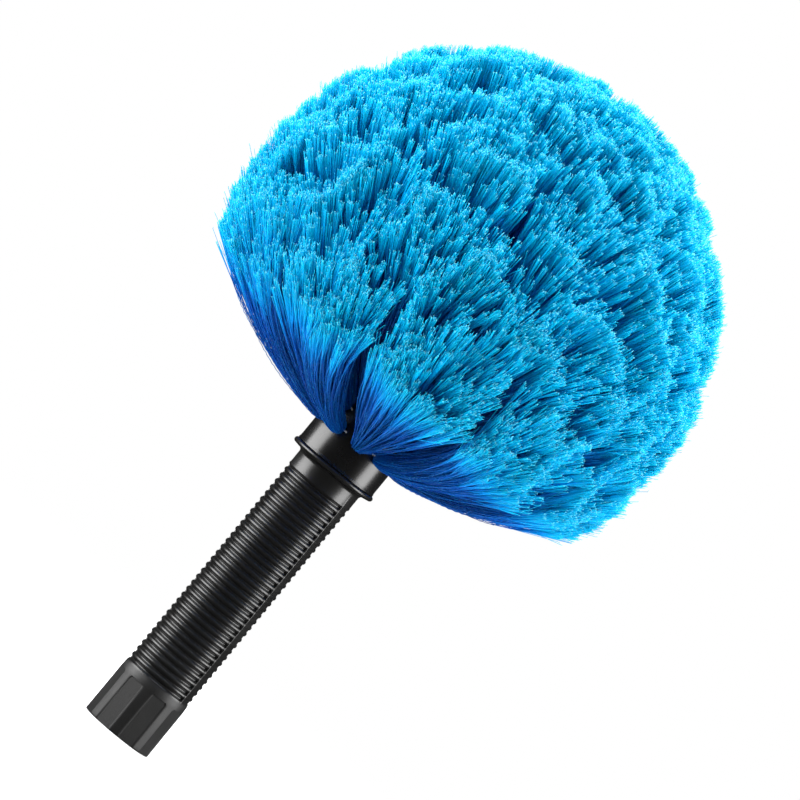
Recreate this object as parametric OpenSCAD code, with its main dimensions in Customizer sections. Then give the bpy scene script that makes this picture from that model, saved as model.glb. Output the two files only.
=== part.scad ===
// Wheel brush: a ball of split-tip filament tufts set in a domed block, on a ribbed hollow handle.
// It stands on the open end of its handle: z = 0 at the mouth, +Z up the axis to the crown.
// Angles about the axis are counted from +X towards +Y. Lengths are in millimetres.

/* [Handle] */
// Length from the mouth to the seam under the block
handle_length = 138; // [134:0.5:146]
// Radius of the collar at the mouth
collar_r = 15.8; // [15.6:0.1:16.4]
// Length of the panelled part of the collar
collar_length = 22.5; // [18:0.5:26]
// Length of the smooth band between the collar and the ribs
band_length = 3.4; // [3:0.2:6]
// Radius over the rib crests
rib_r = 15.4; // [15.2:0.1:15.5]
// Depth of the grooves between the ribs
rib_depth = 1; // [0.4:0.05:1.1]
// Number of grooves along the grip
groove_count = 33; // [24:1:36]
// Length of the smooth neck between the ribs and the flange
neck_length = 7.6; // [6:0.2:10]
// Radius of the neck
neck_r = 15.2; // [14.8:0.1:15.6]
// Radius of the flange bead under the block
flange_r = 20; // [19.6:0.1:21]
// Thickness of the flange bead
flange_thickness = 2.2; // [1.8:0.1:2.8]

/* [Grip Details] */
// Width of the two flat rails that interrupt the ribs
rail_width = 5.8; // [4:0.2:8]
// Distance of a rail's flat face from the axis
rail_face = 15.25; // [15:0.05:15.4]
// Number of flat panels around the collar
panel_count = 8; // [4:1:10]
// Width of a panel
panel_width = 7; // [5:0.2:8]
// Distance of a panel's flat face from the axis
panel_face = 15.1; // [14.6:0.05:15.2]
// Direction of the first rail and the first panel
grip_turn = -26; // [-180:1:180]

/* [Pole Socket] */
// Radius of the socket that takes the pole
socket_r = 11.1; // [10:0.1:12]
// Depth of the socket
socket_depth = 60; // [45:1:80]
// Radius of the hollow core above the socket
core_r = 9; // [7:0.5:9.5]

/* [Block] */
// Radius of the block's wall
block_r = 18.8; // [18.4:0.1:19.2]
// Height of the straight wall above the seam
wall_height = 13; // [11:0.5:15]
// Height of the dome above the wall
dome_height = 25; // [24:1:30]
// Radius of the spigot that plugs into the handle
spigot_r = 12; // [11.6:0.1:12.4]
// Length of the spigot
spigot_length = 14; // [10:1:18]

/* [Tufts] */
// Radius of the ball that the tips are trimmed to
trim_r = 102.8; // [98:0.2:108]
// Height of the ball's centre above the seam
trim_height = 83.7; // [82:0.1:88]
// Angle below the ball's centre at which the lowest tips lie
rim_drop = 25.8; // [20:0.2:30]
// Diameter of the drilled tuft holes
hole_d = 5.2; // [4.8:0.1:5.3]
// Depth of the tuft holes
hole_depth = 6.5; // [5:0.1:7]
// Direction of the first tuft of the rim row
head_turn = -85; // [-180:1:180]
// Gap between neighbouring tufts of a row, at the tips
tuft_gap = 1.6; // [1:0.1:4]
// Gap between the rows, at the tips
row_gap = 3.4; // [3.2:0.1:8]

/* [Hidden] */
// Rows of tufts, from the rim to the crown
row_names = ["rim", "lower", "middle", "upper", "crown"];
row_counts = [11, 11, 10, 6, 1];
// Where each row leaves the dome's outline, as an ellipse angle
row_places = [3, 23, 45, 65, 90];
// Slope of each row's holes above the horizontal
hole_slopes = [18, 34, 52, 71, 90];
// How far each row is turned, as a share of its own spacing
row_shifts = [0, 0.5, 0.25, 0.5, 0];

// Steps and angle in the curved outlines, and sides of the round shapes
rib_steps = 8;
dome_steps = 18;
arc_step = 20;
turned_sides = 96;
small_sides = 32;
hull_sides = 24;
tip_sides = 8;

// How far cuts run past the surfaces they open
cut_over = 1;

// Small details of the mouldings
edge_r = 0.6;
collar_draft = 0.1;
neck_step = 0.4;
neck_fillet = 1.5;
panel_corner_r = 1;
flange_slope = 0.4;
seam_chamfer = 0.35;
block_flare = 0.3;
flare_height = 1.4;
spigot_lead = 1;
rail_root = 13;
rail_overlap = 0.5;

// Tuft roots and the flat wires that hold them
root_gap = 0.1;
root_rise = 1.2;
root_step = 0.2;
wire_length = 7.8;
wire_depth = 2.4;
wire_thickness = 0.5;
wire_proud = 0.5;
tip_edge_r = 1.5;
patch_steps = 3;
crown_sides = 8;

band_top = collar_length + band_length;
flange_bottom = handle_length - flange_thickness;
rib_top = flange_bottom - neck_length;
rib_pitch = (rib_top - band_top) / groove_count;
wall_top = handle_length + wall_height;
trim_z = handle_length + trim_height;
root_r = (hole_d - root_gap) / 2;

function total(list, count) = count == 0 ? 0 : list[count - 1] + total(list, count - 1);
tuft_total = total(row_counts, len(row_counts));

function two_digits(number) = str(number < 10 ? "0" : "", number);
function tuft_name(row, index) =
    row_counts[row] == 1 ? str(row_names[row], "_tuft")
                         : str(row_names[row], "_tuft_", two_digits(index + 1));

// Direction of a tuft about the axis
function tuft_turn(row, index) = head_turn + 360 * (index + row_shifts[row]) / row_counts[row];

// Point of the dome's outline, as [radius, height]
function dome_point(angle) = [block_r * cos(angle), wall_top + dome_height * sin(angle)];

// Sine of the slope at which each row's share of the ball begins, so that every tuft gets an equal area
function share_sine(row) = -sin(rim_drop) + (1 + sin(rim_drop)) * total(row_counts, row) / tuft_total;

// A point r from the centre of the trimming ball
function ball_point(r, turn, slope) =
    [r * cos(slope) * cos(turn), r * cos(slope) * sin(turn), trim_z + r * sin(slope)];

// Points of an arc about [x, y]
function arc(x, y, r, from, to) =
    let (steps = ceil(abs(to - from) / arc_step))
    [for (i = [0 : steps]) let (a = from + (to - from) * i / steps) [x + r * cos(a), y + r * sin(a)]];

// One point of the ribbed grip: grooves sink below the crests in a cosine wave
function rib_point(i) =
    let (turn = 360 * i / rib_steps, z = band_top + rib_pitch * i / rib_steps)
    [rib_r - rib_depth * (1 - cos(turn)) / 2, z];

module rows() {
    for (row = [0 : len(row_counts) - 1])
        for (index = [0 : row_counts[row] - 1]) {
            $row = row;
            $index = index;
            children();
        }
}

// Puts its children at a tuft's hole, with +Z pointing out of the hole
module at_hole(row, index) {
    mouth = dome_point(row_places[row]);
    rotate([0, 0, tuft_turn(row, index)])
        translate([mouth[0], 0, mouth[1]])
            rotate([0, 90 - hole_slopes[row], 0])
                children();
}

// A flat wire that lies across a hole, with its ends in the block
module wire() {
    translate([-wire_thickness / 2, -wire_length / 2, wire_proud - wire_depth])
        cube([wire_thickness, wire_length, wire_depth]);
}

module handle_outline() {
    bead_r = flange_thickness / 2;
    polygon(concat(
        [[0, 0]],
        arc(collar_r - edge_r, edge_r, edge_r, -90, 0),
        [[collar_r - collar_draft, collar_length]],
        [for (i = [0 : groove_count * rib_steps]) rib_point(i)],
        [[neck_r, rib_top + neck_step]],
        arc(neck_r + neck_fillet, flange_bottom - neck_fillet - flange_slope, neck_fillet, 180, 90),
        arc(flange_r - bead_r, flange_bottom + bead_r, bead_r, -90, 90),
        [[0, handle_length]]
    ));
}

// A flat recess in the collar, open at the mouth, with rounded top corners
module panel_cut() {
    tall = collar_length - panel_corner_r;
    translate([panel_face, 0, 0])
        rotate([90, 0, 90])
            linear_extrude(height = collar_r) {
                translate([-panel_width / 2, -cut_over]) square([panel_width, tall + cut_over]);
                translate([-panel_width / 2 + panel_corner_r, 0])
                    square([panel_width - 2 * panel_corner_r, collar_length]);
                for (side = [-1, 1])
                    translate([side * (panel_width / 2 - panel_corner_r), tall])
                        circle(r = panel_corner_r, $fn = small_sides);
            }
}

module rail() {
    translate([rail_root, -rail_width / 2, band_top - rail_overlap])
        cube([rail_face - rail_root, rail_width, rib_top - band_top + 2 * rail_overlap]);
}

module handle() {
    color("#222326")
        difference() {
            union() {
                rotate_extrude($fn = turned_sides) handle_outline();
                for (side = [0, 180]) rotate([0, 0, grip_turn + side]) rail();
            }
            for (i = [0 : panel_count - 1]) rotate([0, 0, grip_turn + 360 * i / panel_count]) panel_cut();
            translate([0, 0, -cut_over])
                cylinder(r = socket_r, h = socket_depth + cut_over, $fn = turned_sides);
            cylinder(r = core_r, h = handle_length - cut_over, $fn = turned_sides);
            translate([0, 0, handle_length - spigot_length])
                cylinder(r = spigot_r, h = spigot_length + cut_over, $fn = turned_sides);
        }
}

module block_outline() {
    spigot_bottom = handle_length - spigot_length;
    polygon(concat(
        [[0, spigot_bottom], [spigot_r - spigot_lead, spigot_bottom]],
        [[spigot_r, spigot_bottom + spigot_lead], [spigot_r, handle_length]],
        [[block_r + block_flare - seam_chamfer, handle_length]],
        [[block_r + block_flare, handle_length + seam_chamfer]],
        [[block_r, handle_length + flare_height]],
        [for (i = [0 : dome_steps]) dome_point(90 * i / dome_steps)]
    ));
}

module brush_block() {
    color("#1d1e21")
        difference() {
            rotate_extrude($fn = turned_sides) block_outline();
            rows() at_hole($row, $index) {
                translate([0, 0, -hole_depth]) cylinder(d = hole_d, h = 2 * hole_depth, $fn = small_sides);
                wire();
            }
        }
}

module anchor_wires() {
    color("silver")
        rows() at_hole($row, $index) wire();
}

// Turns, about a tuft's own direction, of the corners of its share of the ball
function patch_turns(row, margin, slope) =
    row_counts[row] == 1 ? [for (i = [0 : crown_sides - 1]) 360 * i / crown_sides]
        : let (half_turn = 180 / row_counts[row] - margin / cos(slope))
          [for (i = [-patch_steps : 2 : patch_steps]) half_turn * i / patch_steps];

// The spread of one tuft: from its root at the hole to its share of the trimmed ball
module tuft_spread(row, index) {
    inner_r = trim_r - tip_edge_r;
    side_margin = (tuft_gap / 2 + tip_edge_r) / inner_r * 180 / PI;
    row_margin = (row_gap / 2 + tip_edge_r) / inner_r * 180 / PI;
    low = asin(share_sine(row)) + (row == 0 ? side_margin : row_margin);
    high = row_counts[row] == 1 ? 90 : asin(share_sine(row + 1)) - row_margin;
    hull() {
        at_hole(row, index) translate([0, 0, root_rise - 2 * root_step])
            cylinder(r = root_r - root_step, h = root_step, $fn = hull_sides);
        for (i = [0 : patch_steps]) {
            slope = low + (high - low) * i / patch_steps;
            for (turn = patch_turns(row, side_margin, slope))
                translate(ball_point(inner_r, tuft_turn(row, index) + turn, slope))
                    sphere(r = tip_edge_r, $fn = tip_sides);
        }
    }
}

module tuft(row, index) {
    color("#1c9fd8")
        difference() {
            union() {
                at_hole(row, index) translate([0, 0, -hole_depth])
                    cylinder(r = root_r, h = hole_depth + root_rise, $fn = small_sides);
                tuft_spread(row, index);
            }
            at_hole(row, index) wire();
        }
}

handle();
brush_block();
anchor_wires();
rows() tuft($row, $index);
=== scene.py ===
import math

import bpy
import numpy as np
from mathutils import Matrix, Vector


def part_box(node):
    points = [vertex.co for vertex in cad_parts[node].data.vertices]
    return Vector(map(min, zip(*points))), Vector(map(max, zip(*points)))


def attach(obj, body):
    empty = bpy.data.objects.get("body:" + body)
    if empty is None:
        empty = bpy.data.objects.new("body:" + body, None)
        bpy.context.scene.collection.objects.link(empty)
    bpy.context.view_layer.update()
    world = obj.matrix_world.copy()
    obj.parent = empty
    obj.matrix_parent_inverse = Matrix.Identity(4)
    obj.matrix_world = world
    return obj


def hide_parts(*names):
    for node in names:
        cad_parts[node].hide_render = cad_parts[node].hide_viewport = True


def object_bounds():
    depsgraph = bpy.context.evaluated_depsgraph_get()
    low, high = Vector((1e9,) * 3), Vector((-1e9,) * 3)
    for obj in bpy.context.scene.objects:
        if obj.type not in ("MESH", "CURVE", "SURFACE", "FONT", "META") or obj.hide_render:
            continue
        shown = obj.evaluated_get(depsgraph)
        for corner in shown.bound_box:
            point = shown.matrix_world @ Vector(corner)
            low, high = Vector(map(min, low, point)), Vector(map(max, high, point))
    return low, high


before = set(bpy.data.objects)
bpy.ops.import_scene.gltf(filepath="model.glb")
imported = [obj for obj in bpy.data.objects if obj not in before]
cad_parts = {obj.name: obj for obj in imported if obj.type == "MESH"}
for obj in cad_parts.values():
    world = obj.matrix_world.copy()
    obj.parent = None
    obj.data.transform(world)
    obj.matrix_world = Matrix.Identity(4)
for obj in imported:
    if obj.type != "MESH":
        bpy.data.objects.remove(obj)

CAD_BOX = [list(corner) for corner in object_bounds()]

# ---------------------------------------------------------------- sizes, in metres and degrees
MM = 0.001

# The frame's own heights
seam_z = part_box("handle")[1].z
dome_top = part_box("brush_block")[1].z

# The handle, as in the CAD model
COLLAR_R = 15.8 * MM
COLLAR_LENGTH = 22.5 * MM
COLLAR_DRAFT = 0.1 * MM
BAND_TOP = 25.9 * MM
RIB_R = 15.4 * MM
RIB_DEPTH = 1.0 * MM
GROOVES = 33
NECK_R = 15.2 * MM
NECK_LENGTH = 7.6 * MM
NECK_STEP = 0.4 * MM
NECK_FILLET = 1.5 * MM
FLANGE_R = 20 * MM
FLANGE_THICKNESS = 2.2 * MM
FLANGE_SLOPE = 0.4 * MM
EDGE_R = 0.6 * MM
RAIL_WIDTH = 5.8 * MM
RAIL_FACE = 15.25 * MM
PANELS = 8
PANEL_WIDTH = 7 * MM
PANEL_FACE = 15.1 * MM
PANEL_CORNER_R = 1 * MM
GRIP_TURN = -26.0
SOCKET_R = 11.1 * MM
SOCKET_DEPTH = 60 * MM
CORE_R = 9 * MM
SPIGOT_R = 12 * MM
SPIGOT_LENGTH = 14 * MM

# The head, as in the CAD model
BLOCK_R = 18.8 * MM
WALL_HEIGHT = 13 * MM
BALL_R = 102.8 * MM
BALL_RISE = 83.7 * MM
RIM_DROP = 25.8
HOLE_R = 2.6 * MM
HEAD_TURN = -85.0
ROW_NAMES = ["rim", "lower", "middle", "upper", "crown"]
ROW_COUNTS = [11, 11, 10, 6, 1]
ROW_PLACES = [3, 23, 45, 65, 90]
HOLE_SLOPES = [18, 34, 52, 71, 90]
ROW_SHIFTS = [0, 0.5, 0.25, 0.5, 0]

wall_top = seam_z + WALL_HEIGHT
dome_height = dome_top - wall_top
ball_z = seam_z + BALL_RISE

# Filaments come out of a hole as legs, a leg splits into strands, and a strand's end is flagged into hairs.
# A leg: its number in a tuft, its steps in each row, its slow sway, and the zigzag of its crimp
LEGS = 210
LEG_R = 0.16 * MM
LEG_STEPS = [58, 38, 28, 24, 24]
LEG_SWAY = 0.6 * MM
SWAY_TURNS = 1.1
CRIMP = 0.16 * MM
CRIMP_TILT = 0.25
CRIMP_AT_ROOT = 0.15
CRIMP_RISE = 8

# The legs' start below the hole's mouth, the swelling of the bundle above it, and the angle of the fan
ROOT_DEPTH = 3.0 * MM
ROOT_SPREAD = HOLE_R - 1.6 * LEG_R
ROOT_BULGE = 1.0 * MM
BULGE_LENGTH = 1.5 * MM
FAN_ANGLE = 7.0

# Shares of a leg's length over which it keeps its direction at the root and at the tip
ROOT_HOLD = 0.33
TIP_HOLD = 0.3

# Shares of a leg's length between which it splits, and the strands
SPLIT = (0.5, 0.72)
STRANDS = 3
STRAND_R = 0.15 * MM
STRAND_STEPS = 4
STRAND_POINTS = 13
STRAND_SPREAD = 1.6 * MM
STRAND_SWAY = 0.5 * MM
SPREAD_POWER = 1.2

# Flags: how long they are, the most they may take of a strand, and the hairs
FLAG_LENGTH = (12 * MM, 28 * MM)
FLAG_MOST = 0.8
FLAG_OVERLAP = 0.02
HAIRS = 5
HAIR_R = 0.115 * MM
HAIR_SPREAD = 1.15 * MM
HAIR_UNEVEN = 0.35 * MM
CURL_LENGTH = 0.8 * MM
CURL_BEND = 0.8

# Clumps and partings: shortest and longest wave, strength of the push, and depth of the partings
CLUMPS = (
    (20 * MM, 36 * MM, 0.8, 2.4 * MM),
    (11 * MM, 18 * MM, 0.6, 0.8 * MM),
)
WAVES = 40
CLUMP_SEED = 50

# How far filaments lean with their clump, in radians for each metre of push, and at random
CLUMP_LEAN = 26.0
LEG_LEAN = 0.05

# How unevenly tips fill a tuft's share of the ball, as shares of half its width
TIP_SCATTER = 0.04
TUFT_SHARE = (0.9, 0.98)
TUFT_OFFSET = 0.02

# The trim: how far tips pass the CAD ball, and how unevenly legs and strands reach it
TRIM_EXTRA = 1.5 * MM
LEG_DROP = 0.9 * MM
STRAND_DROP = 0.9 * MM

# Shares of the strands that are short, of the hairs that stray, and of the hairs that are frayed pale to
# their tip, the paleness partly a painted highlight
SHORT_SHARE = 0.07
SHORT_BY = (2 * MM, 12 * MM)
STRAY_SHARE = 0.05
STRAY_REACH = 4.0
FRAYED_HIGHLIGHT_SHARE = 0.4

# The rim row leaves its holes lower, in degrees, and a little more so on the +X side
RIM_DIP = 9.0
RIM_SAG = 0.8

# The whole ball leans towards +X, sits a little towards -X, and is trimmed lower on its worn side
HEAD_TILT = math.radians(2.0)
HEAD_SHIFT = 0.5 * MM
WORN_SIDE = (0.88, 0.0, 0.4)
WORN_DEPTH = 2.2 * MM
WORN_FROM = 0.72

# Meshes and UVs: sides of a filament, colour columns, how far a strand's and a hair's column may lie from its
# leg's and its strand's, and the V at which the curl begins
SIDES = 3
UV_COLUMNS = 64
STRAND_TONES = 9
HAIR_TONES = 5
CURL_V = 0.985


# ---------------------------------------------------------------- small vector helpers
def unit(v):
    return v / np.maximum(np.linalg.norm(v, axis=-1, keepdims=True), 1e-12)


# ---------------------------------------------------------------- node material helpers
def new_material(name):
    material = bpy.data.materials.new(name)
    material.use_nodes = True
    nodes = material.node_tree.nodes
    links = material.node_tree.links
    return material, nodes, links, nodes["Principled BSDF"]


def math_node(nodes, links, operation, a, b=None):
    node = nodes.new("ShaderNodeMath")
    node.operation = operation
    for socket, value in zip(node.inputs, (a, b)):
        if value is None:
            continue
        if isinstance(value, (int, float)):
            socket.default_value = value
        else:
            links.new(value, socket)
    return node.outputs[0]


def noise(nodes, links, coordinates, scale, detail=2.0, roughness=0.5):
    node = nodes.new("ShaderNodeTexNoise")
    node.inputs["Scale"].default_value = scale
    node.inputs["Detail"].default_value = detail
    node.inputs["Roughness"].default_value = roughness
    links.new(coordinates, node.inputs["Vector"])
    return node.outputs["Fac"]


def remap(nodes, links, value, low, high, to_low, to_high):
    node = nodes.new("ShaderNodeMapRange")
    links.new(value, node.inputs["Value"])
    for name, number in (("From Min", low), ("From Max", high), ("To Min", to_low), ("To Max", to_high)):
        node.inputs[name].default_value = number
    return node.outputs["Result"]


def ramp(nodes, links, value, stops):
    node = nodes.new("ShaderNodeValToRGB")
    elements = node.color_ramp.elements
    while len(elements) < len(stops):
        elements.new(0.5)
    for element, (place, colour) in zip(elements, stops):
        element.position = place
        element.color = (*colour, 1.0)
    links.new(value, node.inputs["Fac"])
    return node.outputs["Color"]


def bump(nodes, links, principled, height, strength, distance):
    node = nodes.new("ShaderNodeBump")
    node.inputs["Strength"].default_value = strength
    node.inputs["Distance"].default_value = distance
    links.new(height, node.inputs["Height"])
    links.new(node.outputs["Normal"], principled.inputs["Normal"])


# ---------------------------------------------------------------- materials
# Noise scales on object coordinates are in cycles for each metre.
# Plastic: its mottle, its grain, how far above and below its top the grain fades out, how much rougher the
# grainy face is, and the share of the grain that the smooth face keeps
MOTTLE_SCALE = 90.0
GRAIN_SCALE = 2600.0
GRAIN_STRENGTH = 0.35
GRAIN_DEPTH = 0.1 * MM
GRAIN_EDGE = 0.5 * MM
GRAIN_ROUGHNESS = 0.2
SMOOTH_GRAIN = 0.12

# Wire: its streaks, their colours, which are partly a painted sheen, and their roughness
STREAK_SCALE = 1500.0
WIRE_COLOURS_AND_SHEEN = [(0.3, (0.5, 0.5, 0.49)), (0.7, (0.78, 0.78, 0.76))]
WIRE_ROUGHNESS = (0.22, 0.42)
WIRE_METALLIC = 0.5

# Filament: its colours along V, deep at the root as painted shade of the bundle's depth and pale at the tip
# partly as a painted highlight, and how hue and brightness differ from tone to tone
FILAMENT_COLOURS_WITH_PAINTED_LIGHT = [
    (0.0, (0.0, 0.065, 0.34)),
    (0.5, (0.0, 0.065, 0.34)),
    (0.7, (0.0, 0.12, 0.54)),
    (0.82, (0.0, 0.31, 0.86)),
    (0.91, (0.0, 0.50, 0.96)),
    (CURL_V, (0.0, 0.56, 0.86)),
    (1.0, (0.24, 0.78, 0.88)),
]
FILAMENT_ROUGHNESS = 0.28
TONE_HUES = (0.49, 0.508)
TONE_VALUES = (0.88, 1.06)

# Painted glints standing in for the crimp's highlights: their colour and strength, their cycles across U and
# along V, the noise between which they come up, and the V between which they fade out
PAINTED_GLINT_COLOUR = (0.03, 0.45, 0.92, 1.0)
PAINTED_GLINT_STRENGTH = 0.5
GLINT_CYCLES = (1.7 * UV_COLUMNS, 45.0, 1.0)
GLINT_NOISE = (0.62, 0.72)
GLINT_FADE = (0.6, 0.85)


def black_plastic(name, dark, light, grain_top, smoothest, roughest):
    """Satin moulded plastic: smooth above grain_top, with a fine grain and a duller face below it."""
    material, nodes, links, principled = new_material(name)
    place = nodes.new("ShaderNodeTexCoord").outputs["Object"]
    height = nodes.new("ShaderNodeSeparateXYZ")
    links.new(place, height.inputs[0])
    low, high = grain_top - GRAIN_EDGE, grain_top + GRAIN_EDGE
    grainy = remap(nodes, links, height.outputs["Z"], low, high, 1.0, 0.0)
    mottle = noise(nodes, links, place, MOTTLE_SCALE, 4.0)
    links.new(ramp(nodes, links, mottle, [(0.3, dark), (0.7, light)]), principled.inputs["Base Color"])
    speckle = noise(nodes, links, place, GRAIN_SCALE, 2.0)
    sheen_rough = remap(nodes, links, mottle, 0.3, 0.7, smoothest, roughest)
    dull = math_node(nodes, links, "MULTIPLY", grainy, GRAIN_ROUGHNESS)
    links.new(math_node(nodes, links, "ADD", sheen_rough, dull), principled.inputs["Roughness"])
    grain_share = math_node(nodes, links, "ADD", SMOOTH_GRAIN, grainy)
    grain_height = math_node(nodes, links, "MULTIPLY", speckle, grain_share)
    bump(nodes, links, principled, grain_height, GRAIN_STRENGTH, GRAIN_DEPTH)
    principled.inputs["Specular IOR Level"].default_value = 1.0
    return material


def drawn_wire():
    """Bright steel wire with fine streaks, half metal, so that its pale grey is partly a painted sheen."""
    material, nodes, links, principled = new_material("drawn_wire")
    principled.inputs["Metallic"].default_value = WIRE_METALLIC
    place = nodes.new("ShaderNodeTexCoord").outputs["Object"]
    streaks = noise(nodes, links, place, STREAK_SCALE, 3.0)
    # The pale grey streak colours are the steel's own colour and partly a painted sheen
    links.new(ramp(nodes, links, streaks, WIRE_COLOURS_AND_SHEEN), principled.inputs["Base Color"])
    links.new(remap(nodes, links, streaks, 0.2, 0.8, *WIRE_ROUGHNESS), principled.inputs["Roughness"])
    return material


def filament():
    """Blue polyester in UV_COLUMNS tones, deep at the root, where the depth is painted shade, and pale at the
    frayed tip, partly a painted highlight. U picks the tone's column, and V runs from root to tip."""
    material, nodes, links, principled = new_material("filament")
    uv = nodes.new("ShaderNodeUVMap")
    uv.uv_map = "OFBake"
    split = nodes.new("ShaderNodeSeparateXYZ")
    links.new(uv.outputs["UV"], split.inputs[0])
    across = math_node(nodes, links, "MULTIPLY", split.outputs["X"], float(UV_COLUMNS))
    column = math_node(nodes, links, "FLOOR", across)
    draw = nodes.new("ShaderNodeTexWhiteNoise")
    draw.noise_dimensions = "1D"
    links.new(column, draw.inputs["W"])
    # Colours along V: painted shade deep at the root, and a pale tip that is partly a painted highlight
    along = ramp(nodes, links, split.outputs["Y"], FILAMENT_COLOURS_WITH_PAINTED_LIGHT)
    tone = nodes.new("ShaderNodeHueSaturation")
    links.new(remap(nodes, links, draw.outputs["Value"], 0.0, 1.0, *TONE_HUES), tone.inputs["Hue"])
    links.new(remap(nodes, links, draw.outputs["Value"], 0.0, 1.0, *TONE_VALUES), tone.inputs["Value"])

    # Painted glints: highlights of the crimp painted into the colour here and there near the root
    stretch = nodes.new("ShaderNodeVectorMath")
    stretch.operation = "MULTIPLY"
    stretch.inputs[1].default_value = GLINT_CYCLES
    links.new(uv.outputs["UV"], stretch.inputs[0])
    glitter = noise(nodes, links, stretch.outputs["Vector"], 1.0, 1.0)
    painted_glint = remap(nodes, links, glitter, *GLINT_NOISE, 0.0, PAINTED_GLINT_STRENGTH)
    near_root = remap(nodes, links, split.outputs["Y"], *GLINT_FADE, 1.0, 0.0)
    blend = nodes.new("ShaderNodeMix")
    blend.data_type = "RGBA"
    blend_factor, blend_first, blend_second = blend.inputs[0], blend.inputs[6], blend.inputs[7]
    links.new(math_node(nodes, links, "MULTIPLY", painted_glint, near_root), blend_factor)
    links.new(along, blend_first)
    blend_second.default_value = PAINTED_GLINT_COLOUR
    links.new(blend.outputs[2], tone.inputs["Color"])
    links.new(tone.outputs["Color"], principled.inputs["Base Color"])
    principled.inputs["Roughness"].default_value = FILAMENT_ROUGHNESS
    principled.inputs["Specular IOR Level"].default_value = 0.25
    return material


# ---------------------------------------------------------------- the handle
SOFT_EDGE = 0.12 * MM
COLLAR_ROWS = [2 * MM, 8 * MM, 14 * MM]
RIB_RINGS = 14
CREST_SHARPNESS = 1.6
ROUND_STEPS = 8
CORNER_TURNS = np.radians(np.linspace(0, 90, 5))
MOUTH_BEVEL = 0.5 * MM

# Columns round the handle, in degrees: the even ones, the least gap to a special one, the turn just outside a
# panel's edge, and the turns beside a rail's edge
EVEN_COLUMNS = 64
COLUMN_GAP = 1.2
BESIDE_PANEL = 14.3
BESIDE_RAIL_EDGE = (-1.4, -0.9, -0.4, 0, 0.25, 0.7)
RAIL_ROUND = 0.35 * MM
RAIL_EDGE_DROP = 0.3 * MM
SHARP_ANGLE = math.radians(50)


def arc(x, y, r, first, last):
    """Points of a round stretch of an outline, as (radius, height)."""
    turns = np.radians(np.linspace(first, last, ROUND_STEPS + 1))
    return [(x + r * math.cos(a), y + r * math.sin(a)) for a in turns]


def grip_outline():
    """The handle's outside, from the mouth to the seam, as (radius, height)."""
    flange_bottom = seam_z - FLANGE_THICKNESS
    rib_top = flange_bottom - NECK_LENGTH
    bead_r = FLANGE_THICKNESS / 2
    fillet_z = flange_bottom - NECK_FILLET - FLANGE_SLOPE
    corner_rows = COLLAR_LENGTH - PANEL_CORNER_R * (1 - np.sin(CORNER_TURNS))
    collar_rows = [*COLLAR_ROWS, *corner_rows, COLLAR_LENGTH + SOFT_EDGE]
    collar = [(COLLAR_R - COLLAR_DRAFT * z / COLLAR_LENGTH, z) for z in collar_rows]
    ribs = []
    for z in np.linspace(BAND_TOP, rib_top, GROOVES * RIB_RINGS + 1):
        wave = (1 - math.cos(2 * math.pi * GROOVES * (z - BAND_TOP) / (rib_top - BAND_TOP))) / 2
        ribs.append((RIB_R - RIB_DEPTH * wave**CREST_SHARPNESS, z))
    return [
        *arc(COLLAR_R - EDGE_R, EDGE_R, EDGE_R, -90, 0),
        *collar,
        (RIB_R + SOFT_EDGE, BAND_TOP - 2 * SOFT_EDGE),
        *ribs,
        (NECK_R, rib_top + NECK_STEP),
        (NECK_R, rib_top + 0.5 * NECK_LENGTH),
        *arc(NECK_R + NECK_FILLET, fillet_z, NECK_FILLET, 180, 90),
        *arc(FLANGE_R - bead_r, flange_bottom + bead_r, bead_r, -90, 90),
    ]


def bore_outline():
    """The handle's inside, from the seam down to the mouth, as (radius, height)."""
    spigot_floor = seam_z - SPIGOT_LENGTH
    return [
        (SPIGOT_R + MOUTH_BEVEL, seam_z),
        (SPIGOT_R, seam_z - MOUTH_BEVEL),
        (SPIGOT_R, spigot_floor),
        (CORE_R, spigot_floor),
        (CORE_R, SOCKET_DEPTH),
        (SOCKET_R, SOCKET_DEPTH),
        (SOCKET_R, 0.5 * SOCKET_DEPTH),
        (SOCKET_R, EDGE_R),
        (SOCKET_R + EDGE_R, 0),
    ]


def grip_turns():
    """Columns round the handle: an even share, and close pairs at the edges of rails and panels."""
    even = np.linspace(-180, 180, EVEN_COLUMNS, endpoint=False)
    panel_sides = [PANEL_WIDTH / 2 - PANEL_CORNER_R * (1 - math.sin(a)) for a in CORNER_TURNS]
    panel_edges = [math.degrees(math.asin(side / COLLAR_R)) for side in panel_sides] + [BESIDE_PANEL]
    rail_edge = math.degrees(math.asin(RAIL_WIDTH / 2 / RAIL_FACE))
    rail_edges = [rail_edge + step for step in BESIDE_RAIL_EDGE]
    special = []
    for i in range(PANELS):
        for edge in panel_edges:
            special += [360 * i / PANELS + edge, 360 * i / PANELS - edge]
    for side in (0, 180):
        for edge in rail_edges:
            special += [side + edge, side - edge]
    special = (np.array(special) + 180) % 360 - 180
    far = [a for a in even if np.abs(special - a).min() > COLUMN_GAP]
    return np.radians(np.sort(np.concatenate([far, np.unique(np.round(special, 3))])))


def from_nearest_flat(turns, count):
    """Each turn, counted from the middle of the nearest of count flats."""
    step = 2 * math.pi / count
    return (turns + step / 2) % step - step / 2


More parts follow.
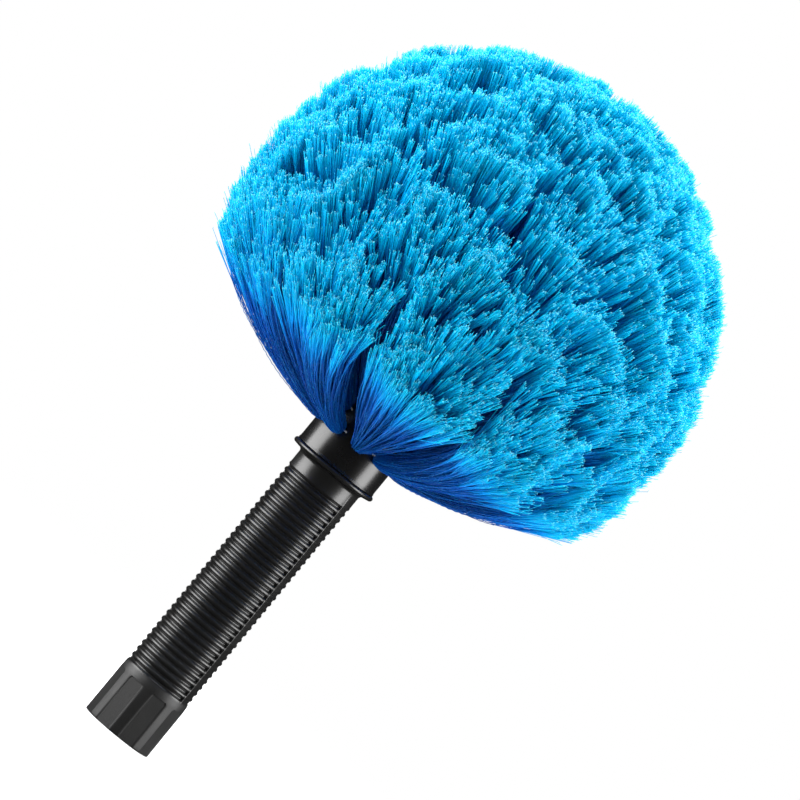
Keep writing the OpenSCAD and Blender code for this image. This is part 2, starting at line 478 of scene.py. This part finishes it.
def grip_radius(turns, r, z):
    """The radius of one ring round the grip, with the panels cut in and the rails standing out."""
    ring = np.full(len(turns), r)
    if z <= COLLAR_LENGTH:
        local = from_nearest_flat(turns, PANELS)
        side = np.abs(r * np.sin(local))
        over = max(0.0, z - (COLLAR_LENGTH - PANEL_CORNER_R))
        shrink = PANEL_CORNER_R - math.sqrt(max(PANEL_CORNER_R**2 - over**2, 0.0))
        inside = (side < PANEL_WIDTH / 2 - shrink + 0.001 * MM) & (z < COLLAR_LENGTH - 0.01 * MM)
        ring = np.where(inside, np.minimum(ring, PANEL_FACE / np.cos(local)), ring)
    if BAND_TOP - NECK_STEP <= z <= seam_z - FLANGE_THICKNESS - NECK_LENGTH + NECK_STEP:
        local = from_nearest_flat(turns, 2)
        half = RAIL_WIDTH / 2
        flat = RAIL_FACE / np.cos(local)
        lateral = np.abs(flat * np.sin(local))
        rounding = np.clip((lateral - (half - RAIL_ROUND)) / RAIL_ROUND, 0, 1)
        face = flat - RAIL_EDGE_DROP * rounding**2
        wall = half / np.maximum(np.abs(np.sin(local)), 1e-6)
        ring = np.maximum(ring, np.where(lateral <= half, face, np.minimum(wall, face.min())))
    return ring


def handle_mesh(material):
    """The handle as one closed skin: rings along the outline outside, then back down the bore."""
    turns = grip_turns()
    outline = [(r, z, True) for r, z in grip_outline()] + [(r, z, False) for r, z in bore_outline()]
    rings = []
    for r, z, outside in outline:
        ring = grip_radius(turns, r, z) if outside else np.full(len(turns), r)
        angle = turns + math.radians(GRIP_TURN)
        rings.append(np.stack([ring * np.cos(angle), ring * np.sin(angle), np.full(len(turns), z)], -1))
    points = np.concatenate(rings)
    index = np.arange(len(points)).reshape(len(rings), len(turns))
    beside, above = np.roll(index, -1, axis=1), np.roll(index, -1, axis=0)
    faces = np.stack([index, beside, np.roll(beside, -1, axis=0), above], -1).reshape(-1, 4)
    mesh = bpy.data.meshes.new("handle_skin")
    mesh.from_pydata(points, [], faces, shade_flat=False)
    mesh.set_sharp_from_angle(angle=SHARP_ANGLE)
    mesh.materials.append(material)
    piece = bpy.data.objects.new("handle_skin", mesh)
    bpy.context.scene.collection.objects.link(piece)
    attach(piece, "root")
    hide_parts("handle")


# ---------------------------------------------------------------- filaments as fine three-sided tubes
def tubes(rng, paths, radii, columns, v):
    """Closed tubes along paths, with one radius and one V for each ring. Returns vertices, triangles and each
    triangle corner's UV."""
    count, rings = paths.shape[:2]
    tangent = unit(np.gradient(paths, axis=1))
    side = unit(rng.normal(size=(count, 1, 3)))
    first = unit(side - np.sum(side * tangent, axis=-1, keepdims=True) * tangent)
    second = np.cross(tangent, first)
    turn = np.arange(SIDES) * 2 * math.pi / SIDES
    ring = first[:, :, None] * np.cos(turn)[:, None] + second[:, :, None] * np.sin(turn)[:, None]
    points = paths[:, :, None] + ring * radii[:, :, None, None]

    corner = np.arange(count * rings * SIDES).reshape(count, rings, SIDES)
    following = np.roll(corner, -1, axis=2)
    a, b = corner[:, :-1], following[:, :-1]
    c, d = following[:, 1:], corner[:, 1:]
    walls = np.stack([np.stack([a, b, c], -1), np.stack([a, c, d], -1)], axis=-2).reshape(-1, 3)
    root_caps = corner[:, 0, ::-1].reshape(-1, 3)
    tip_caps = corner[:, -1].reshape(-1, 3)

    left = (columns[:, None] + np.arange(SIDES) / SIDES) / UV_COLUMNS
    right = (columns[:, None] + (np.arange(SIDES) + 1) / SIDES) / UV_COLUMNS
    shape = (count, rings - 1, SIDES)
    low_v = np.broadcast_to(v[:, :-1, None], shape)
    high_v = np.broadcast_to(v[:, 1:, None], shape)
    left_u = np.broadcast_to(left[:, None], shape)
    right_u = np.broadcast_to(right[:, None], shape)
    uv_a, uv_b = np.stack([left_u, low_v], -1), np.stack([right_u, low_v], -1)
    uv_c, uv_d = np.stack([right_u, high_v], -1), np.stack([left_u, high_v], -1)
    wall_uv = np.stack([np.stack([uv_a, uv_b, uv_c], -2), np.stack([uv_a, uv_c, uv_d], -2)], axis=-3)
    root_uv = np.stack([left, np.repeat(v[:, :1], SIDES, 1)], -1)
    tip_uv = np.stack([left, np.repeat(v[:, -1:], SIDES, 1)], -1)
    faces = np.concatenate([walls, root_caps, tip_caps])
    uvs = np.concatenate([wall_uv.reshape(-1, 3, 2), root_uv, tip_uv])
    return points.reshape(-1, 3), faces, uvs


def mesh_object(name, parts, material):
    vertices, faces, uvs, offset = [], [], [], 0
    for points, triangles, corners in parts:
        vertices.append(points)
        faces.append(triangles + offset)
        uvs.append(corners)
        offset += len(points)
    mesh = bpy.data.meshes.new(name)
    mesh.from_pydata(np.concatenate(vertices), [], np.concatenate(faces), shade_flat=False)
    layer = mesh.uv_layers.new(name="OFBake")
    layer.data.foreach_set("uv", np.concatenate(uvs).astype(np.float32).ravel())
    mesh.materials.append(material)
    piece = bpy.data.objects.new(name, mesh)
    bpy.context.scene.collection.objects.link(piece)
    return piece


# ---------------------------------------------------------------- the head's layout
def dome_point(angle):
    a = math.radians(angle)
    return BLOCK_R * math.cos(a), wall_top + dome_height * math.sin(a)


def share_sine(row):
    """Sine of the slope at which a row's share of the ball begins."""
    base = math.sin(math.radians(RIM_DROP))
    return -base + (1 + base) * sum(ROW_COUNTS[:row]) / sum(ROW_COUNTS)


def tuft_turn(row, index):
    return HEAD_TURN + 360.0 * (index + ROW_SHIFTS[row]) / ROW_COUNTS[row]


def tuft_frame(row, index):
    """The mouth of a tuft's hole and the hole's axis, sideways direction and upward direction."""
    turn, slope = math.radians(tuft_turn(row, index)), math.radians(HOLE_SLOPES[row])
    r, z = dome_point(ROW_PLACES[row])
    outward = np.array([math.cos(turn), math.sin(turn), 0.0])
    sideways = np.array([-math.sin(turn), math.cos(turn), 0.0])
    up = np.array([0.0, 0.0, 1.0])
    mouth = outward * r + up * z
    axis = outward * math.cos(slope) + up * math.sin(slope)
    return mouth, axis, sideways, np.cross(axis, sideways)


def disc_to_square(q):
    """Maps points of the unit disc to the square from -1 to 1, keeping their order round the middle."""
    r = np.linalg.norm(q, axis=-1, keepdims=True)
    biggest = np.maximum(np.abs(q).max(axis=-1, keepdims=True), 1e-9)
    return q * r / biggest


def sunflower(rng, n):
    """n points spread evenly over the unit disc."""
    i = np.arange(n)
    r = np.sqrt((i + 0.5) / n)
    angle = i * math.pi * (3 - math.sqrt(5)) + rng.uniform(0, 2 * math.pi)
    return np.stack([r * np.cos(angle), r * np.sin(angle)], axis=-1)


def ball_points(row, index, cell, radius):
    """Points on the trimmed ball for places of a tuft's own share, each from -1 to 1 across and upward."""
    low, high = share_sine(row), share_sine(row + 1)
    if ROW_COUNTS[row] == 1:
        reach = math.acos(low)
        away = reach * np.linalg.norm(cell, axis=-1).clip(0, 1.2)
        turn = np.arctan2(cell[:, 1], cell[:, 0])
        slope = math.pi / 2 - away
    else:
        slope = np.arcsin((low + (high - low) * (cell[:, 1] + 1) / 2).clip(-1, 1))
        turn = math.radians(tuft_turn(row, index)) + math.pi / ROW_COUNTS[row] * cell[:, 0]
    flat = radius * np.cos(slope)
    return np.stack([flat * np.cos(turn), flat * np.sin(turn), ball_z + radius * np.sin(slope)], axis=-1)


def clumping(points, step):
    """A smooth random field over the ball, number step of CLUMPS. Returns how far points are lowered in its
    low places, and the push along the ball towards its high places, where filaments crowd together."""
    shortest, longest, strength, depth = CLUMPS[step]
    rng = np.random.default_rng(CLUMP_SEED + step)
    wave = unit(rng.normal(size=(WAVES, 3))) * 2 * math.pi / rng.uniform(shortest, longest, (WAVES, 1))
    angle = points @ wave.T + rng.uniform(0, 2 * math.pi, WAVES)
    share = math.sqrt(2 / WAVES)
    drop = depth * np.maximum(-share * np.sin(angle).sum(-1), 0)
    push = strength * share * np.cos(angle) @ (wave / np.sum(wave**2, axis=-1, keepdims=True))
    middle = np.array([0, 0, ball_z])
    outward = unit(points - middle)
    return drop, push - np.sum(push * outward, axis=-1, keepdims=True) * outward


def leg_tips(rng, row, index, place):
    """Each leg's tip near the trimmed ball, and how far its clump pushed it. Clumps stand to the full height,
    and the partings between them are lower."""
    target = place if ROW_COUNTS[row] == 1 else disc_to_square(place)
    cell = target + rng.normal(0, TIP_SCATTER, target.shape)
    cell = cell * rng.uniform(*TUFT_SHARE, 2) + rng.normal(0, TUFT_OFFSET, 2)
    points = ball_points(row, index, cell, BALL_R)
    height = BALL_R + TRIM_EXTRA - np.abs(rng.normal(0, LEG_DROP, LEGS))
    pushed = 0
    for step in range(len(CLUMPS)):
        drop, push = clumping(points, step)
        points, height, pushed = points + push, height - drop, pushed + push
    outward = unit(points - np.array([0, 0, ball_z]))
    height -= WORN_DEPTH * ((outward @ unit(np.array(WORN_SIDE)) - WORN_FROM) / (1 - WORN_FROM)).clip(0, 1)
    across, back, up = (outward * height[:, None]).T
    across, up = (
        across * math.cos(HEAD_TILT) + up * math.sin(HEAD_TILT),
        up * math.cos(HEAD_TILT) - across * math.sin(HEAD_TILT),
    )
    return np.stack([across - HEAD_SHIFT, back, ball_z + up], axis=-1), pushed


def bezier(p0, p1, p2, p3, t):
    s = 1 - t
    terms = zip((p0, p1, p2, p3), (s**3, 3 * s * s * t, 3 * s * t * t, t**3))
    return sum(point[:, None] * weight[..., None] for point, weight in terms)


def leg_paths(rng, row, index, steps):
    """Centre-lines of a tuft's filaments, from inside the hole to the trimmed ball."""
    mouth, axis, sideways, upward = tuft_frame(row, index)
    place = sunflower(rng, LEGS)
    tips, push = leg_tips(rng, row, index, place)
    outward = place[:, :1] * sideways + place[:, 1:] * upward
    start = mouth + outward * ROOT_SPREAD - axis * ROOT_DEPTH
    out = unit(axis + math.tan(math.radians(FAN_ANGLE)) * outward)
    if row == 0:
        dip = RIM_DIP + RIM_SAG * math.cos(math.radians(tuft_turn(row, index)))
        out = unit(out - math.tan(math.radians(dip)) * upward)
    chord = tips - start
    length = np.linalg.norm(chord, axis=-1, keepdims=True)
    along = chord / length
    lean = push * CLUMP_LEAN + rng.normal(0, LEG_LEAN, (LEGS, 3))
    end = unit(2 * along * np.sum(out * along, axis=-1, keepdims=True) - out + lean)
    t = np.broadcast_to(np.linspace(0, 1, steps + 1), (LEGS, steps + 1))
    path = bezier(start, start + out * length * ROOT_HOLD, tips - end * length * TIP_HOLD, tips, t)

    # The bundle swells as it leaves the hole
    swell = 1 - np.exp(-np.maximum(t * length - ROOT_DEPTH, 0) / BULGE_LENGTH)
    fade = (1 - t) ** 2
    path = path + outward[:, None] * (ROOT_BULGE * swell * fade)[..., None]

    # Slow wander and the fine zigzag of the crimp
    sway = rng.normal(0, LEG_SWAY, (LEGS, 3))
    wave = np.sin(2 * SWAY_TURNS * math.pi * t + rng.uniform(0, 2 * math.pi, (LEGS, 1)))
    wave = wave * np.sin(math.pi * t) ** 2
    path = path + sway[:, None] * wave[..., None]
    crimp_side = unit(np.cross(along, sideways + rng.normal(0, CRIMP_TILT, (LEGS, 3))))
    zigzag = CRIMP * (-1.0) ** np.arange(steps + 1) * np.clip(t * CRIMP_RISE, CRIMP_AT_ROOT, 1)
    return path + crimp_side[:, None] * zigzag[..., None], length[:, 0]


def along_path(path, t):
    """Points at the places t, from 0 to 1, of each path. t has one row of places for each path."""
    place = np.clip(t, 0, 1) * (path.shape[1] - 1)
    low = np.clip(place.astype(int), 0, path.shape[1] - 2)
    share = (place - low)[..., None]
    which = np.arange(len(path))[:, None]
    return path[which, low] * (1 - share) + path[which, low + 1] * share


def sideways_of(rng, forward, count):
    """count unit directions square to each forward direction."""
    away = rng.normal(size=(len(forward), count, 3))
    along = np.sum(away * forward[:, None], axis=-1, keepdims=True)
    return unit(away - along * forward[:, None])


def strand_paths(rng, path, length):
    """Each leg splits into strands that part slowly. Returns the strands from the split to the tip, where
    along the leg they begin, and how long they are."""
    split = rng.uniform(*SPLIT, len(path))
    grid = np.linspace(0, 1, STRAND_POINTS)
    core = along_path(path, split[:, None] + (1 - split[:, None]) * grid)
    forward = unit(path[:, -1] - path[:, -4])
    away = sideways_of(rng, forward, STRANDS)
    reach = STRAND_SPREAD * np.sqrt(rng.uniform(0.05, 1, (len(path), STRANDS, 1)))
    part = core[:, None] + (away * reach)[:, :, None] * (grid**SPREAD_POWER)[:, None]
    sway = sideways_of(rng, forward, STRANDS) * rng.normal(0, STRAND_SWAY, (len(path), STRANDS, 1))
    part = part + sway[:, :, None] * (np.sin(math.pi * grid) * grid)[:, None]
    shorter = np.abs(rng.normal(0, STRAND_DROP, (len(path), STRANDS)))
    shorter += (rng.uniform(0, 1, shorter.shape) < SHORT_SHARE) * rng.uniform(*SHORT_BY, shorter.shape)
    span = length[:, None] * (1 - split[:, None])
    part = part.reshape(-1, len(grid), 3)
    keep = (1 - shorter / span).reshape(-1, 1)
    whole = along_path(part, keep * grid)
    return whole, split, (span * keep.reshape(len(span), -1)).ravel()


def hair_paths(rng, strands, span):
    """The flagged end of each strand: fine hairs that part, run on to the trim and end in a small curl. Also
    returns where along the strand they begin."""
    count = len(strands)
    flag = np.minimum(rng.uniform(*FLAG_LENGTH, count), FLAG_MOST * span)
    first = 1 - flag / span
    forward = unit(strands[:, -1] - strands[:, -3])
    away = sideways_of(rng, forward, HAIRS)
    stray = 1 + STRAY_REACH * (rng.uniform(0, 1, (count, HAIRS, 1)) < STRAY_SHARE)
    reach = HAIR_SPREAD * stray * np.sqrt(rng.uniform(0.1, 1, (count, HAIRS, 1)))
    start = np.repeat(along_path(strands, first[:, None]), HAIRS, axis=1)
    uneven = rng.normal(0, HAIR_UNEVEN, (count, HAIRS, 1)) * forward[:, None]
    tip = strands[:, -1:] + away * reach + uneven
    bend = sideways_of(rng, forward, HAIRS) * rng.uniform(-CURL_BEND, CURL_BEND, (count, HAIRS, 1))
    curl = tip + (forward[:, None] + bend) * CURL_LENGTH * rng.uniform(0.4, 1, (count, HAIRS, 1))
    return np.stack([start, tip, curl], axis=2).reshape(-1, 3, 3), first


def nearby_columns(rng, columns, tones):
    """A colour column for each filament, among the first few from its parent's."""
    return (columns + rng.integers(0, tones, len(columns))) % UV_COLUMNS


def tuft(row, index, material):
    """One tuft's filaments, as one piece in place of its CAD solid."""
    rng = np.random.default_rng(1000 * (row + 1) + index)
    steps = LEG_STEPS[row]
    path, length = leg_paths(rng, row, index, steps)
    strands, split, span = strand_paths(rng, path, length)
    hairs, flag_first = hair_paths(rng, strands, span)

    # Every leg runs a little past its split, and every strand past its flag's start, so that no gap shows
    leg_end = np.minimum(split + 1.0 / steps, 1)
    legs = along_path(path, leg_end[:, None] * np.linspace(0, 1, int(steps * SPLIT[1]) + 1))
    stem_end = flag_first + FLAG_OVERLAP
    stems = along_path(strands, stem_end[:, None] * np.linspace(0, 1, STRAND_STEPS + 1))

    leg_columns = rng.integers(0, UV_COLUMNS, LEGS)
    strand_columns = nearby_columns(rng, np.repeat(leg_columns, STRANDS), STRAND_TONES)
    hair_columns = nearby_columns(rng, np.repeat(strand_columns, HAIRS), HAIR_TONES)
    strand_split = np.repeat(split, STRANDS)
    flag_v = strand_split + (1 - strand_split) * flag_first
    leg_v = leg_end[:, None] * np.linspace(0, 1, legs.shape[1])
    stem_v = strand_split[:, None] + (flag_v - strand_split)[:, None] * np.linspace(0, 1, stems.shape[1])
    # Frayed hairs run on to V 1, the pale tip that is partly a painted highlight
    frayed_highlight_v = np.where(rng.uniform(0, 1, len(hairs)) < FRAYED_HIGHLIGHT_SHARE, 1.0, CURL_V)
    hair_v = np.stack([np.repeat(flag_v, HAIRS), np.full(len(hairs), CURL_V), frayed_highlight_v], -1)
    parts = [
        tubes(rng, legs, np.full(legs.shape[:2], LEG_R), leg_columns, leg_v),
        tubes(rng, stems, np.full(stems.shape[:2], STRAND_R), strand_columns, stem_v),
        tubes(rng, hairs, np.full(hairs.shape[:2], HAIR_R), hair_columns, hair_v),
    ]
    number = "" if ROW_COUNTS[row] == 1 else f"_{index + 1:02d}"
    node = f"{ROW_NAMES[row]}_tuft{number}"
    piece = mesh_object(node + "_filaments", parts, material)
    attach(piece, "root")
    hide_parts(node)


# ---------------------------------------------------------------- camera, lights and stage
# The camera's downward slope and the lean of the brush in its view, in degrees, then the lens and sensor in
# millimetres, and the width and middle of what it sees
VIEW_SLOPE = 2.3
AXIS_LEAN = 39.5
LENS = 500.0
SENSOR = 36.0
FRAME_WIDTH = 320 * MM
FRAME_CENTRE = Vector((3 * MM, 0, 175.1 * MM))
CAMERA_REACH = 50

# Softboxes: name, place, width, height and watts. All face the middle of the brush
LIT_POINT = Vector((0, 0, 0.18))
SOFTBOXES = [
    ("left_softbox", (-0.95, -0.12, 0.3), 0.8, 0.8, 11),
    ("right_softbox", (0.95, -0.16, 0.3), 0.6, 0.8, 8),
    ("top_softbox", (0, -0.2, 1.2), 0.9, 0.9, 14),
]

# The backdrop's light on matt surfaces, from the front and from behind, and its share in glossy ones
FRONT_LIGHT = 1.0
BACK_LIGHT = 4.0
GLOSSY_SHARE = 0.04

# The floor, and the shares of its radius between which it fades
FLOOR_R = 0.75
FLOOR_SIDES = 96
FLOOR_GAP = 0.02 * MM
FLOOR_FADE = (0.05, 0.95)


def add_camera():
    data = bpy.data.cameras.new("camera")
    data.lens = LENS
    data.sensor_width = SENSOR
    camera = bpy.data.objects.new("camera", data)
    bpy.context.scene.collection.objects.link(camera)
    slope, lean = math.radians(VIEW_SLOPE), math.radians(AXIS_LEAN)
    back = Vector((0, -math.cos(slope), math.sin(slope)))
    side = Vector((1, 0, 0))
    up = back.cross(side)
    right = side * math.cos(lean) + up * math.sin(lean)
    over = up * math.cos(lean) - side * math.sin(lean)
    place = FRAME_CENTRE + back * (FRAME_WIDTH * LENS / SENSOR)
    camera.matrix_world = Matrix((right, over, back)).transposed().to_4x4()
    camera.location = place
    data.clip_end = CAMERA_REACH
    bpy.context.scene.camera = camera


def softbox(name, place, width, height, power):
    data = bpy.data.lights.new(name, "AREA")
    data.shape = "RECTANGLE"
    data.size = width
    data.size_y = height
    data.energy = power
    light = bpy.data.objects.new(name, data)
    bpy.context.scene.collection.objects.link(light)
    light.location = place
    light.rotation_euler = (LIT_POINT - Vector(place)).to_track_quat("-Z", "Y").to_euler()
    light.visible_camera = False


def add_lights():
    for name, place, width, height, power in SOFTBOXES:
        softbox(name, place, width, height, power)


def add_world():
    """A white backdrop whose soft light comes mostly from behind, and which shines only faintly in glossy
    surfaces."""
    world = bpy.data.worlds.new("studio")
    bpy.context.scene.world = world
    world.use_nodes = True
    world.cycles.sampling_method = "NONE"
    nodes, links = world.node_tree.nodes, world.node_tree.links
    background = nodes["Background"]
    path = nodes.new("ShaderNodeLightPath")
    direction = nodes.new("ShaderNodeSeparateXYZ")
    links.new(nodes.new("ShaderNodeTexCoord").outputs["Generated"], direction.inputs[0])
    behind = remap(nodes, links, direction.outputs["Y"], -1.0, 1.0, FRONT_LIGHT, BACK_LIGHT)
    soft = math_node(nodes, links, "MULTIPLY", path.outputs["Is Diffuse Ray"], behind)
    shine = math_node(nodes, links, "MULTIPLY", path.outputs["Is Glossy Ray"], GLOSSY_SHARE)
    seen = math_node(nodes, links, "ADD", path.outputs["Is Camera Ray"], shine)
    strength = math_node(nodes, links, "ADD", seen, soft)
    background.inputs["Color"].default_value = (1, 1, 1, 1)
    links.new(strength, background.inputs["Strength"])


def add_floor():
    """A pale round floor that fades out into the white backdrop, and throws no light on the brush."""
    mesh = bpy.data.meshes.new("floor")
    turns = [2 * math.pi * i / FLOOR_SIDES for i in range(FLOOR_SIDES)]
    rim = [(FLOOR_R * math.cos(a), FLOOR_R * math.sin(a), 0) for a in turns]
    mesh.from_pydata(rim, [], [list(range(FLOOR_SIDES))])
    floor = bpy.data.objects.new("floor", mesh)
    bpy.context.scene.collection.objects.link(floor)
    floor.location.z = CAD_BOX[0][2] - FLOOR_GAP
    material, nodes, links, principled = new_material("floor")
    place = nodes.new("ShaderNodeTexCoord").outputs["Object"]
    length = nodes.new("ShaderNodeVectorMath")
    length.operation = "LENGTH"
    links.new(place, length.inputs[0])
    fade_start, fade_end = [share * FLOOR_R for share in FLOOR_FADE]
    fade = remap(nodes, links, length.outputs["Value"], fade_start, fade_end, 1.0, 0.0)
    links.new(fade, principled.inputs["Alpha"])
    principled.inputs["Base Color"].default_value = (0.9, 0.9, 0.9, 1)
    principled.inputs["Roughness"].default_value = 0.8
    mesh.materials.append(material)
    floor.visible_glossy = False
    floor.visible_diffuse = False


# ---------------------------------------------------------------- build
add_camera()
add_lights()
add_world()
add_floor()
bpy.context.scene.view_settings.view_transform = "Standard"

handle_plastic = black_plastic(
    "handle_plastic",
    dark=(0.003, 0.003, 0.0028),
    light=(0.005, 0.005, 0.0047),
    grain_top=BAND_TOP,
    smoothest=0.29,
    roughest=0.34,
)
handle_mesh(handle_plastic)
block_plastic = black_plastic(
    "block_plastic",
    dark=(0.001, 0.001, 0.001),
    light=(0.002, 0.002, 0.002),
    grain_top=0.0,
    smoothest=0.24,
    roughest=0.29,
)
finishes = {
    "brush_block": block_plastic,
    "anchor_wires": drawn_wire(),
}
for node, finish in finishes.items():
    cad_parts[node].data.materials.clear()
    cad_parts[node].data.materials.append(finish)

filament_material = filament()
for row in range(len(ROW_NAMES)):
    for index in range(ROW_COUNTS[row]):
        tuft(row, index, filament_material)
